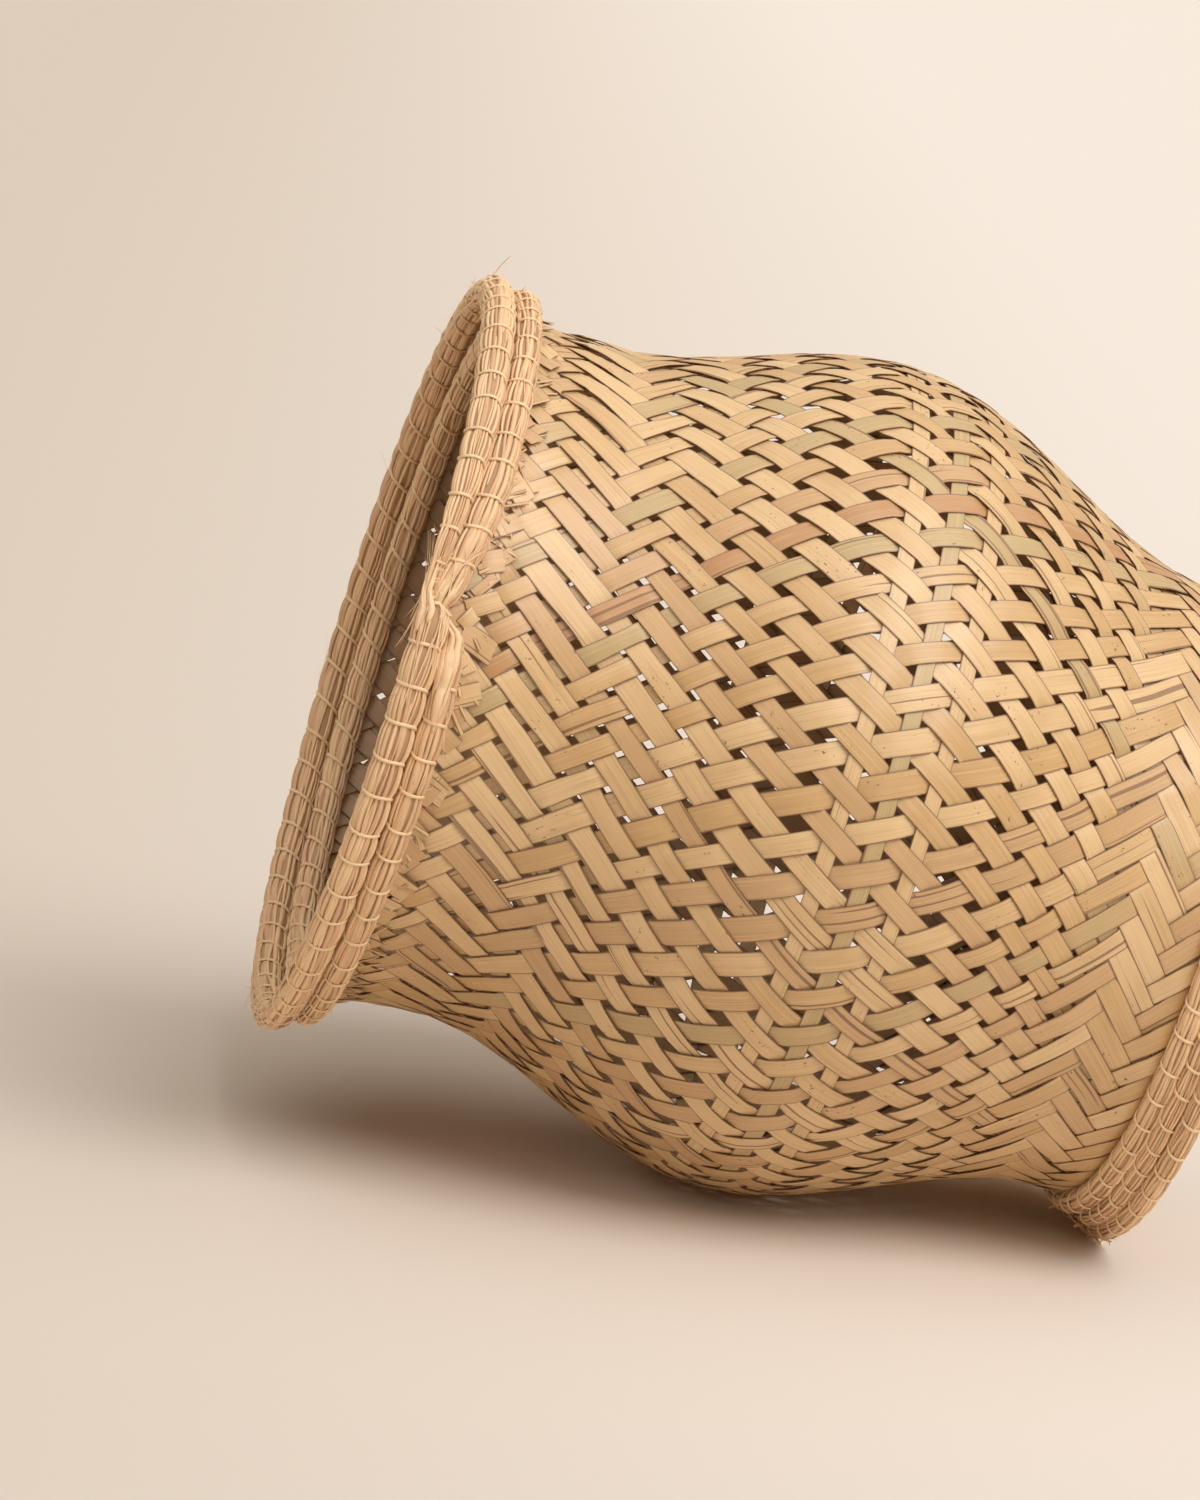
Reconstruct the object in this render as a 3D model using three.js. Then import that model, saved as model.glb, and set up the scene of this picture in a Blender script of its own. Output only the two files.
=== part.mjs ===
// Palm fiber basket: a plaited round belly on a foot of stitched fibre bundles, with a laced rim.
// Millimetres, +Z up through the mouth. The origin is the centre of the face that the foot stands on.
import * as THREE from 'three';

// Wall, from the foot up: diameters are over the outside of the plaiting
const wallThickness = 1.6;
const footNeckDiameter = 293;
const bellyDiameter = 397;
const neckDiameter = 324;
const mouthDiameter = 337;
const footToBellyRise = 172;
const bellyToNeckRise = 145;
const neckToMouthRise = 54;
const bottomTurnRadius = 14.5;
const bottomFlangeWidth = 6;

// Diamond openings between the plaited strips, wider and fewer than the real ones. At the belly
// they have their full share of a panel, and they close up where the wall is narrow
const openingShare = 0.78;
const leastShare = 0.42;
const closedDiameter = 262;

// Base mat, laid on the flange that the wall turns in at the bottom
const baseThickness = 1.6;

// Three flat hoops round the belly, the middle one a little below its widest line
const hoopWidth = 8;
const hoopThickness = 0.8;
const hoopSpacing = 18.2;
const middleHoopDrop = 10.8;

// Foot: three bundles, each further out and down than the one above
const footUpperRadius = 5.3;
const footMiddleRadius = 4.2;
const footEdgeRadius = 5;
const footFlareAngle = THREE.MathUtils.degToRad(24);
const footSeatAngle = THREE.MathUtils.degToRad(33);
const standingCut = 0.5;

// Rim: one bundle on each side of the wall's edge and a thick one on top, in the notch between them
const rimOuterRadius = 5.4;
const rimInnerRadius = 5.7;
const rimEdgeRadius = 7.2;
const rimOuterDrop = 7.5;
const rimInnerDrop = 6;

// Lacing wound round the thick bundle, with close turns where the bundle's ends overlap
const lacingDiameter = 1.6;
const lacingPitch = 17.3;
const lapTurns = 6;
const lapPitch = 3;
const lapAngle = THREE.MathUtils.degToRad(246);
const lacingStartAngle = THREE.MathUtils.degToRad(-135);

// Gap between pieces that touch on the real basket
const clearance = 0.3;

// How finely the round forms are faceted: the lacing bends at each corner of its bundle
const ringSides = 48;
const bundleSides = 8;
const lacingSides = 5;
const turnSteps = 4;

// Colours of sunned palm leaf, split leaf hoops and bundled leaf fibre
const palette = {
  leaf: new THREE.MeshStandardMaterial({ color: 0xd3ab78, roughness: 0.62, metalness: 0 }),
  hoop: new THREE.MeshStandardMaterial({ color: 0xc99a63, roughness: 0.6, metalness: 0 }),
  fibre: new THREE.MeshStandardMaterial({ color: 0xc79d70, roughness: 0.8, metalness: 0 }),
  lacing: new THREE.MeshStandardMaterial({ color: 0xdcb584, roughness: 0.7, metalness: 0 }),
};

const basket = new THREE.Group();

function addPiece(name, geometry, material) {
  const mesh = new THREE.Mesh(geometry, material);
  mesh.name = name;
  basket.add(mesh);
}

// A point of the section plane: x is the distance from the basket's axis, y the height
function polar(centre, distance, angle) {
  return new THREE.Vector2(
    centre.x + distance * Math.cos(angle),
    centre.y + distance * Math.sin(angle),
  );
}

// A closed section turned round the basket's axis
function revolve(outline) {
  const geometry = new THREE.LatheGeometry([...outline, outline[0]], ringSides);
  return geometry.rotateX(Math.PI / 2);
}

// A fibre bundle bent into a ring, with one corner of its section facing what it is stitched to
function bundleSection(centre, radius, seatAngle) {
  const corners = [];
  for (let i = 0; i < bundleSides; i += 1) {
    corners.push(polar(centre, radius, seatAngle + (2 * Math.PI * i) / bundleSides));
  }
  return corners;
}

// Foot: heights are stacked from the floor, and radii follow from the seat under the wall's bottom turn
const footEdge = new THREE.Vector2(0, footEdgeRadius - standingCut);
const footMiddle = polar(
  footEdge,
  footEdgeRadius + clearance + footMiddleRadius,
  Math.PI / 2 + footFlareAngle,
);
const footUpper = polar(
  footMiddle,
  footMiddleRadius + clearance + footUpperRadius,
  Math.PI / 2 + footFlareAngle,
);
const turnCentre = polar(
  footUpper,
  footUpperRadius + clearance + bottomTurnRadius,
  Math.PI - footSeatAngle,
);
const footShift = footNeckDiameter / 2 - bottomTurnRadius - turnCentre.x;
for (const centre of [footEdge, footMiddle, footUpper, turnCentre]) {
  centre.x += footShift;
}

// Wall above the bottom turn: its radius swings gently from one named diameter to the next,
// and the last stretch ends in mid swing, so that the mouth still flares at its edge
const stretches = [
  { from: footNeckDiameter, to: bellyDiameter, rise: footToBellyRise, swing: Math.PI, steps: 10 },
  { from: bellyDiameter, to: neckDiameter, rise: bellyToNeckRise, swing: Math.PI, steps: 8 },
  { from: neckDiameter, to: mouthDiameter, rise: neckToMouthRise, swing: Math.PI / 2, steps: 4 },
];
const bellyHeight = turnCentre.y + footToBellyRise;
const mouthHeight = bellyHeight + bellyToNeckRise + neckToMouthRise;

// The wall at a height, moved inward by depth, square to the outer face
function wallPoint(height, depth) {
  let start = turnCentre.y;
  let stretch = stretches[0];
  for (const next of stretches) {
    if (height < start + stretch.rise) {
      break;
    }
    if (next !== stretch) {
      start += stretch.rise;
      stretch = next;
    }
  }
  const phase = (stretch.swing * (height - start)) / stretch.rise;
  const gain = (stretch.to - stretch.from) / 2 / (1 - Math.cos(stretch.swing));
  const radius = stretch.from / 2 + gain * (1 - Math.cos(phase));
  const lean = Math.atan((gain * stretch.swing * Math.sin(phase)) / stretch.rise);
  return {
    lean,
    point: new THREE.Vector2(radius - depth * Math.cos(lean), height + depth * Math.sin(lean)),
  };
}

// One face of the wall from the flange's inner edge round the turn and up to the mouth
function wallFace(depth) {
  const reach = bottomTurnRadius - depth;
  const face = [new THREE.Vector2(turnCentre.x - bottomFlangeWidth, turnCentre.y - reach)];
  for (let i = 0; i < turnSteps; i += 1) {
    face.push(polar(turnCentre, reach, (Math.PI / 2) * (i / turnSteps - 1)));
  }
  let start = turnCentre.y;
  for (const stretch of stretches) {
    for (let i = 0; i < stretch.steps; i += 1) {
      face.push(wallPoint(start + (stretch.rise * i) / stretch.steps, depth).point);
    }
    start += stretch.rise;
  }
  face.push(wallPoint(mouthHeight, depth).point);
  return face;
}

// A point of the section turned round the basket's axis
function turned(section, column) {
  const angle = (2 * Math.PI * column) / ringSides;
  return new THREE.Vector3(section.x * Math.cos(angle), section.x * Math.sin(angle), section.y);
}

// The wall has two faces, joined at the flange, at the mouth and round each opening.
// An opening takes a panel two steps high, every second one in a row and staggered from row to row
function plaitedWall() {
  const corners = [];
  const faces = [];
  const sections = [wallFace(0), wallFace(wallThickness)];
  const addCorner = (point) => corners.push(point) - 1;
  const between = (first, second, share) => corners[first].clone().lerp(corners[second], share);
  const rings = sections.map((face) => face.map((section) => (
    Array.from({ length: ringSides }, (_, column) => addCorner(turned(section, column)))
  )));
  const [outerRings, innerRings] = rings;

  // A flat outline, counter-clockwise from outside the wall, or turned over for its inner face
  function addPanel(outline, inner = false) {
    const loop = inner ? [...outline].reverse() : outline;
    for (let i = 2; i < loop.length; i += 1) {
      faces.push(loop[0], loop[i - 1], loop[i]);
    }
  }

  // The two halves of an open panel, round the diamond's bottom, right, top and left corners
  function addOpenPanel(row, column, share, inner) {
    const next = (column + 1) % ringSides;
    const [low, middle, high] = [0, 1, 2].map((step) => rings[inner ? 1 : 0][row + step]);
    const heart = between(middle[column], middle[next], 0.5);
    const bottom = addCorner(heart.clone().lerp(between(low[column], low[next], 0.5), share));
    const right = addCorner(heart.clone().lerp(corners[middle[next]], share));
    const top = addCorner(heart.clone().lerp(between(high[column], high[next], 0.5), share));
    const left = addCorner(heart.clone().lerp(corners[middle[column]], share));
    addPanel([low[column], low[next], bottom], inner);
    addPanel([low[next], middle[next], right, bottom], inner);
    addPanel([low[column], bottom, left, middle[column]], inner);
    addPanel([high[next], high[column], top], inner);
    addPanel([high[next], top, right, middle[next]], inner);
    addPanel([high[column], middle[column], left, top], inner);
    return [bottom, right, top, left];
  }

  const firstOpen = turnSteps + 1;
  const lastOpen = firstOpen + stretches[0].steps + stretches[1].steps - 2;
  const top = outerRings.length - 1;
  for (let column = 0; column < ringSides; column += 1) {
    const next = (column + 1) % ringSides;
    let row = 0;
    while (row < top) {
      const diameter = 2 * sections[0][row + 1].x;
      const share = (openingShare * (diameter - closedDiameter)) / (bellyDiameter - closedDiameter);
      const openRow = row >= firstOpen && row <= lastOpen && share > leastShare;
      if (openRow && ((row - firstOpen) / 2 + column) % 2 === 0) {
        const outer = addOpenPanel(row, column, share, false);
        const inner = addOpenPanel(row, column, share, true);
        outer.forEach((corner, side) => {
          const after = (side + 1) % outer.length;
          addPanel([corner, outer[after], inner[after], inner[side]]);
        });
        row += 2;
      } else {
        for (const rim of rings) {
          const [low, high] = [rim[row], rim[row + 1]];
          addPanel([low[column], low[next], high[next], high[column]], rim === innerRings);
        }
        row += 1;
      }
    }
    for (const [from, to, end] of [[innerRings, outerRings, 0], [outerRings, innerRings, top]]) {
      addPanel([from[end][column], from[end][next], to[end][next], to[end][column]]);
    }
  }

  const geometry = new THREE.BufferGeometry().setFromPoints(corners);
  geometry.setIndex(faces);
  geometry.computeVertexNormals();
  return geometry;
}

addPiece('woven_wall', plaitedWall(), palette.leaf);

// Base mat: a disc clear of the inside of the turn
const baseBottom = turnCentre.y - bottomTurnRadius + wallThickness + clearance;
const baseOutline = [
  new THREE.Vector2(0, baseBottom),
  new THREE.Vector2(turnCentre.x, baseBottom),
  new THREE.Vector2(turnCentre.x, baseBottom + baseThickness),
  new THREE.Vector2(0, baseBottom + baseThickness),
];
const baseGeometry = new THREE.LatheGeometry(baseOutline, ringSides).rotateX(Math.PI / 2);
addPiece('base_mat', baseGeometry, palette.leaf);

// Belly hoops: flat strips that hug the outside of the wall
['lower', 'middle', 'upper'].forEach((name, i) => {
  const height = bellyHeight - middleHoopDrop + (i - 1) * hoopSpacing;
  const outline = [
    wallPoint(height - hoopWidth / 2, -clearance - hoopThickness).point,
    wallPoint(height + hoopWidth / 2, -clearance - hoopThickness).point,
    wallPoint(height + hoopWidth / 2, -clearance).point,
    wallPoint(height - hoopWidth / 2, -clearance).point,
  ];
  addPiece(`belly_hoop_${name}`, revolve(outline), palette.hoop);
});

// Foot bundles: the edge one is pressed flat where the basket stands
addPiece(
  'foot_upper_coil',
  revolve(bundleSection(footUpper, footUpperRadius, Math.PI - footSeatAngle)),
  palette.fibre,
);
addPiece(
  'foot_middle_coil',
  revolve(bundleSection(footMiddle, footMiddleRadius, Math.PI / 2 + footFlareAngle)),
  palette.fibre,
);
const footEdgeSection = bundleSection(footEdge, footEdgeRadius, Math.PI / 2 + footFlareAngle);
for (const corner of footEdgeSection) {
  corner.y = Math.max(corner.y, 0);
}
addPiece('foot_edge_coil', revolve(footEdgeSection), palette.fibre);

// Rim: the outer and inner bundles lie against the wall's two faces
const outerSeat = wallPoint(mouthHeight - rimOuterDrop, -clearance - rimOuterRadius);
const innerSeat = wallPoint(mouthHeight - rimInnerDrop, wallThickness + clearance + rimInnerRadius);
addPiece(
  'rim_outer_coil',
  revolve(bundleSection(outerSeat.point, rimOuterRadius, Math.PI - outerSeat.lean)),
  palette.fibre,
);
addPiece(
  'rim_inner_coil',
  revolve(bundleSection(innerSeat.point, rimInnerRadius, -innerSeat.lean)),
  palette.fibre,
);

// The lacing runs along the flats of the edge bundle, so its corners lie a little further out
const lacingRadius = lacingDiameter / 2;
const cornerStretch = 1 / Math.cos(Math.PI / bundleSides);
const lacingReach = rimEdgeRadius + (clearance + lacingRadius) * cornerStretch;
const lacedRadius = lacingReach + lacingRadius;

// The laced edge bundle settles in the notch between the wall's edge and the outer bundle:
// its centre is at a known distance from both
const wallEdge = wallPoint(mouthHeight, 0).point;
const fromOuter = lacedRadius + clearance + rimOuterRadius;
const fromEdge = lacedRadius + clearance;
const notchWidth = outerSeat.point.distanceTo(wallEdge);
const towardEdge = Math.atan2(wallEdge.y - outerSeat.point.y, wallEdge.x - outerSeat.point.x);
const along = (fromOuter ** 2 - fromEdge ** 2 + notchWidth ** 2) / (2 * notchWidth);
const rimEdge = polar(outerSeat.point, fromOuter, towardEdge - Math.acos(along / fromOuter));
addPiece('rim_edge_coil', revolve(bundleSection(rimEdge, rimEdgeRadius, 0)), palette.fibre);

// Lacing path: points on a winding round the edge bundle, which itself is a ring of straight sides
function facetFactor(angle) {
  const side = (2 * Math.PI) / ringSides;
  const within = THREE.MathUtils.euclideanModulo(angle, side) - side / 2;
  return Math.cos(side / 2) / Math.cos(within);
}

function ringPoint(centre, distance, turnAngle, ringAngle) {
  const section = polar(centre, distance, turnAngle);
  const radius = section.x * facetFactor(ringAngle);
  return new THREE.Vector3(radius * Math.cos(ringAngle), radius * Math.sin(ringAngle), section.y);
}

const lapStep = lapPitch / rimEdge.x;
const lapArc = (lapTurns + 1) * lapStep;
const longTurns = Math.round(((2 * Math.PI - lapArc) * rimEdge.x) / lacingPitch);
const longStep = (2 * Math.PI - lapArc) / longTurns;
const lacingPath = [];
const lacingHearts = [];
for (let i = 0; i <= (lapTurns + longTurns) * bundleSides; i += 1) {
  const turns = i / bundleSides;
  const lapPart = Math.min(turns, lapTurns) * lapStep;
  const longPart = Math.max(turns - lapTurns, 0) * longStep;
  const ringAngle = lapAngle + lapPart + longPart;
  const turnAngle = lacingStartAngle + 2 * Math.PI * turns;
  lacingPath.push(ringPoint(rimEdge, lacingReach, turnAngle, ringAngle));
  lacingHearts.push(ringPoint(rimEdge, 0, 0, ringAngle));
}

// A tube along a path: each ring of corners is set out from the heart of the winding
function windingTube(path, hearts, radius, sides) {
  const corners = [];
  path.forEach((point, i) => {
    const before = path[Math.max(i - 1, 0)];
    const after = path[Math.min(i + 1, path.length - 1)];
    const forward = new THREE.Vector3().subVectors(after, before).normalize();
    const outward = new THREE.Vector3().subVectors(point, hearts[i]);
    outward.addScaledVector(forward, -outward.dot(forward)).normalize();
    const sideways = new THREE.Vector3().crossVectors(forward, outward);
    for (let k = 0; k < sides; k += 1) {
      const angle = (2 * Math.PI * k) / sides;
      const corner = point.clone();
      corner.addScaledVector(outward, radius * Math.cos(angle));
      corner.addScaledVector(sideways, radius * Math.sin(angle));
      corners.push(corner.x, corner.y, corner.z);
    }
  });
  const faces = [];
  const last = (path.length - 1) * sides;
  for (let k = 0; k < sides; k += 1) {
    const next = (k + 1) % sides;
    for (let ring = 0; ring < last; ring += sides) {
      faces.push(ring + k, ring + next, ring + sides + next);
      faces.push(ring + k, ring + sides + next, ring + sides + k);
    }
    if (k > 0 && next > 0) {
      faces.push(0, next, k);
      faces.push(last, last + k, last + next);
    }
  }
  const geometry = new THREE.BufferGeometry();
  geometry.setAttribute('position', new THREE.Float32BufferAttribute(corners, 3));
  geometry.setIndex(faces);
  geometry.computeVertexNormals();
  return geometry;
}

addPiece(
  'rim_lacing',
  windingTube(lacingPath, lacingHearts, lacingRadius, lacingSides),
  palette.lacing,
);

// The winding's least gap to itself, between points at least half a turn apart
let leastSpan = Infinity;
for (let i = 0; i < lacingPath.length; i += 1) {
  for (let j = i + bundleSides / 2; j < lacingPath.length; j += 1) {
    leastSpan = Math.min(leastSpan, lacingPath[i].distanceTo(lacingPath[j]));
  }
}
const leastGap = (leastSpan - lacingDiameter).toFixed(2);
console.log(`rim_lacing: ${lapTurns + longTurns} turns, least gap to itself ${leastGap} mm`);

export default basket;
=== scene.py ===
"""Palm fiber basket: plaited strips, threaded hoops, stitched fibre bundles and a pale floor.

Lengths are in metres. The basket stands on z = 0 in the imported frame, and the photograph shows it laid on its side.
"""

import math
import random

import bmesh
import bpy
import numpy as np
from bpy.props import FloatProperty, FloatVectorProperty, IntProperty, PointerProperty
from bpy.types import Operator, Panel, PropertyGroup
from mathutils import Matrix, Vector


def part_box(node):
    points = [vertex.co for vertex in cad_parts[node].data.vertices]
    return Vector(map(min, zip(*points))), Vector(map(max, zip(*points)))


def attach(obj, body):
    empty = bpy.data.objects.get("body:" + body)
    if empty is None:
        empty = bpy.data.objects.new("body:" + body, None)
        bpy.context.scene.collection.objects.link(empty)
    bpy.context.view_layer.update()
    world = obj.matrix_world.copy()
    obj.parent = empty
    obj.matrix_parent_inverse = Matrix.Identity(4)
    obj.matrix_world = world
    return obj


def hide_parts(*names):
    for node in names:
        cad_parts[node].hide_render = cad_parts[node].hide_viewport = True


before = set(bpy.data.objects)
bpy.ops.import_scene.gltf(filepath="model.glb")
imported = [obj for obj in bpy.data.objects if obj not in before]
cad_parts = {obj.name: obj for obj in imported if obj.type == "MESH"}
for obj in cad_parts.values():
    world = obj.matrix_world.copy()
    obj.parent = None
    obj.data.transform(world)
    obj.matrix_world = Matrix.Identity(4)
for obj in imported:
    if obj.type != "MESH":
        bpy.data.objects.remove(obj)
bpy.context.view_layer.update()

bl_info = {
    "name": "Palm Fiber Basket",
    "version": (1, 0, 0),
    "blender": (4, 5, 0),
    "location": "3D View > Sidebar > Basket",
    "description": "Plaits the strips, hoops and laced bundles of a round palm fiber basket",
    "category": "Add Mesh",
}

TURN = 2 * math.pi

# Which set of strips lies outside at each crossing row: set a, which runs down to the right, or set b. In turn the
# mouth's edge, the neck and shoulder, the hoops, the belly, and the longer floats down to the foot
OUTSIDE = "b" "ababbbaabbababa" "bab" "ababab" "aaabbbaaa" "bbbaaabbb"
HOOP_ROWS = (16, 17, 18)

# The basket has settled on its side: how far its axis has moved at these heights, towards that azimuth
SETTLED_HEIGHTS = (0.0, 0.1, 0.2, 0.3, 0.42)
SETTLED_SHIFTS = (-0.006, -0.0045, 0.0006, 0.0050, -0.0026)
SETTLED_TOWARD = math.radians(-32.5)

# How far the plaited rows run ahead of an even spacing, as a curve of the distance below the mouth in such units
ROW_DRIFT = (32.124, -52.772, 24.308, -2.926, 0.539)
ROW_DRIFT_UNIT = 0.4
ROW_DRIFT_END = 0.966

# How far the strips and the base mat reach over each other
MAT_OVERLAP = 0.004

# The bundles' radii, and the azimuths of the rim's top in the photograph and of the foot's lap
BUNDLE_RADII = {
    "rim_edge": 0.0076,
    "rim_outer": 0.0063,
    "rim_inner": 0.0064,
    "foot_upper": 0.0058,
    "foot_middle": 0.0048,
    "foot_edge": 0.0054,
}
RIM_TOP = 5.66
FOOT_LAP = 2.55

# A stitch's dent in its bundle, as a narrow and a wide bell: each one's share of the depth and its width
DENT = ((0.62, 0.0022), (0.38, 0.0052))

# Lowest heights, for what no floor holds up and for loose fibres at the foot
NO_FLOOR = -1.0
ABOVE_FLOOR = 0.0002

# How the photograph sees the basket, the size of a pixel at the belly, and where the belly's middle is seen
IMAGE_WIDTH, IMAGE_HEIGHT = 1200, 1500
CAMERA_ROLL, CAMERA_TIP, CAMERA_TURN = math.radians(16.86), math.radians(7.73), math.radians(-32.5)
PIXEL = 0.0004706
BELLY_PIXEL = (797, 776)
BELLY_HEIGHT = 0.205
SENSOR = 36.0

# The floor touches the belly and the foot's edge
FLOOR_AZIMUTH, FLOOR_LEAN = math.radians(139), math.radians(9.2)
FLOOR_DISTANCE, FLOOR_HEIGHT = 0.1684, 0.0044
FLOOR_HALF_WIDTH = 14.0
# Painted light: the direction in which the floor's colour is painted lighter
FLOOR_PAINTED_LIGHT_TOWARD = (0.196, -0.253, -0.948)


# Settings


def setting(kind, **limits):
    """A kind of setting, which is then made from a name, a description, a default and what differs from its limits."""
    return lambda name, description, default, **other: kind(
        name=name, description=description, default=default, **{**limits, **other}
    )


length = setting(FloatProperty, min=0.0, unit="LENGTH", subtype="DISTANCE", precision=5)
angle = setting(FloatProperty, unit="ROTATION", subtype="ANGLE")
number = setting(IntProperty, min=0)
strength = setting(FloatProperty, min=0.0)
factor = setting(FloatProperty, min=0.0, max=1.0, subtype="FACTOR")
colour = setting(FloatVectorProperty, size=3, min=0.0, max=1.0, subtype="COLOR")


class BasketWallSettings(PropertyGroup):
    """The wall's shape and its two sets of strips."""

    foot_neck: length("Foot neck", "Diameter where the wall rises from the foot", 0.293)
    belly: length("Belly", "Diameter at the widest line", 0.397)
    neck: length("Neck", "Diameter where the wall draws in below the mouth", 0.324)
    mouth: length("Mouth", "Diameter at the wall's upper edge", 0.337)
    belly_rise: length("Foot to belly", "Height from the bottom turn to the widest line", 0.172)
    neck_rise: length("Belly to neck", "Height from the widest line to the neck", 0.145)
    mouth_rise: length("Neck to mouth", "Height from the neck to the wall's edge", 0.054)
    turn: length("Bottom turn", "Radius with which the wall turns in under the basket", 0.0145)
    turn_height: length("Turn height", "Height of the bottom turn's centre", 0.03308)
    thickness: length("Wall thickness", "Both layers of strips together", 0.0016)
    flange: length("Flange", "Width of the flat edge under the base mat", 0.006)
    strips: number("Strips each way", "Strips in each of the two sets", 60, min=20)
    reach: length("Winding reach", "Least distance from the axis that the strips would come to", 0.1)
    phase: angle("First strip", "Azimuth of the first strip of each set", math.radians(2.5))
    orange_strip: number("Orange strip", "Which strip of set a dried orange-brown", 38)
    strip_width: length("Strip width", "Mean width of a strip", 0.0108)
    strip_thickness: length("Strip thickness", "Thickness of the split leaf", 0.0003)
    lift: length("Lift", "Distance of a strip from the wall's middle where it crosses another", 0.00048)
    hoop_lift: length("Lift at hoops", "The same distance where a hoop lies between the strips", 0.00085)
    crown: length("Crown", "How much a strip's middle stands above its edges", 0.00012)
    bow: length("Bow", "How far a strip stands off where it floats over three others", 0.00055)
    shingle: length("Shingle", "How far a strip's edge lies over the next one where they crowd", 0.00017)
    tucked_ends: number("Folded ends", "Cut ends that are folded back below the rim", 150, min=1)
    split_ends: number("Split ends", "Thin slivers among the folded ends", 160, min=1)
    straw: colour("Straw", "The lightest strips", (0.745, 0.512, 0.262))
    tan: colour("Tan", "The darker strips", (0.590, 0.357, 0.146))
    rose: colour("Rose", "Strips that dried pink", (0.575, 0.335, 0.155))
    green: colour("Green", "Strips that dried with some green", (0.480, 0.366, 0.161))
    orange: colour("Orange", "The few strips that dried orange-brown", (0.500, 0.236, 0.090))
    # Also the colour of the painted shade along edges, in splits and on the leaf's inner side
    spot: colour("Spot", "Brown spots and edges", (0.200, 0.090, 0.034))


class BasketHoopSettings(PropertyGroup):
    """The three flat strips threaded round the belly, and the base mat."""

    width: length("Hoop width", "Width of each hoop", 0.0082)
    thickness: length("Hoop thickness", "Thickness of each hoop", 0.0005)
    mat_pitch: length("Mat pitch", "Distance between the strips of the base mat", 0.0118)
    mat_lift: length("Mat lift", "Distance of the mat's strips from its middle", 0.0006)


class BasketBundleSettings(PropertyGroup):
    """The fibre bundles of the rim and the foot, and the cord that laces them."""

    lanes: number("Lanes", "Strands side by side round the rim's edge bundle", 23, min=6)
    strand_thickness: length("Strand thickness", "How far a strand stands above the bundle's core", 0.00075)
    strand_length: length("Strand length", "Mean length of a fibre strand", 0.20)
    pinch: factor("Pinch", "Share of its radius by which a stitch draws the bundle in", 0.16, max=0.5)
    rim_stitches: number("Rim stitches", "Stitches in one round of the rim", 63, min=8)
    foot_stitches: number("Foot stitches", "Stitches in one round of the foot", 57, min=8)
    lap_turns: number("Lap turns", "Close turns round the edge bundle's lap", 6, min=1)
    lap_angle: angle("Lap angle", "Where the close turns begin", math.radians(246.0))
    lap_pitch: length("Lap pitch", "Distance between the close turns", 0.003)
    cord: length("Cord", "Width of the lacing cord", 0.0017)
    light: colour("Light fibre", "The lightest strands", (0.930, 0.655, 0.385))
    dark: colour("Dark fibre", "The darkest strands", (0.745, 0.465, 0.248))
    warm: colour("Warm fibre", "The few redder strands", (0.70, 0.42, 0.235))
    core: colour("Core", "The shaded inside of a bundle", (0.310, 0.163, 0.073))
    lacing: colour("Lacing", "The split leaf that laces the bundles", (0.890, 0.665, 0.390))


class BasketStageSettings(PropertyGroup):
    """The floor, the lamps and the camera."""

    key: strength("Key lamp", "Strength of the soft lamp up to the right", 1.55)
    key_size: angle("Key softness", "How wide the lamp looks from the basket", math.radians(42.0))
    glow: strength("Ceiling glow", "Strength of the light from above", 2.15)
    glow_size: angle("Glow softness", "How wide the ceiling's glow looks from the basket", math.radians(118.0))
    room: colour("Glow colour", "Tint of the ceiling's glow, from the room's walls", (1.0, 0.93, 0.85))
    fill: strength("Fill", "Strength of the even light from all sides", 0.02)
    fill_tint: colour("Fill colour", "Tint of the even light", (1.0, 0.74, 0.48))
    backdrop: colour("Backdrop", "What is seen beyond the floor", (0.84, 0.72, 0.60))
    # Painted light: the floor is painted darker on the left and lighter on the right, as its light falls off
    floor: colour("Floor", "The floor on the left", (0.680, 0.594, 0.510))
    floor_right: colour("Floor, right", "The floor on the right", (0.880, 0.815, 0.752))
    # Painted light: a glow of the floor that only diffuse rays see, lightening the basket's underside
    floor_glow: colour("Floor's light", "What the floor gives back to the basket", (0.055, 0.040, 0.026))
    distance: length("Camera distance", "Distance from the camera to the belly", 3.2)


# Shader expressions


class Value:
    """A node's output that works in Python expressions: +, - and * add Math nodes, and a name in square brackets
    gives another output of the same node."""

    def __init__(self, tree, socket):
        self.tree = tree
        self.socket = socket

    def __getitem__(self, output):
        return Value(self.tree, self.socket.node.outputs[output])

    def math(self, operation, *others):
        return self.tree.node("Math", [self, *others], operation=operation)

    def __add__(self, other):
        return self.math("ADD", other)

    def __sub__(self, other):
        return self.math("SUBTRACT", other)

    def __mul__(self, other):
        return self.math("MULTIPLY", other)

    def __rsub__(self, other):
        return self.tree.node("Math", [other, self], operation="SUBTRACT")

    __radd__ = __add__
    __rmul__ = __mul__

    def between(self, low, high):
        """0 below low, 1 above high and a smooth step from one to the other."""
        sockets = {"Value": self, "From Min": low, "From Max": high}
        return self.tree.node("MapRange", sockets, interpolation_type="SMOOTHSTEP")


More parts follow.
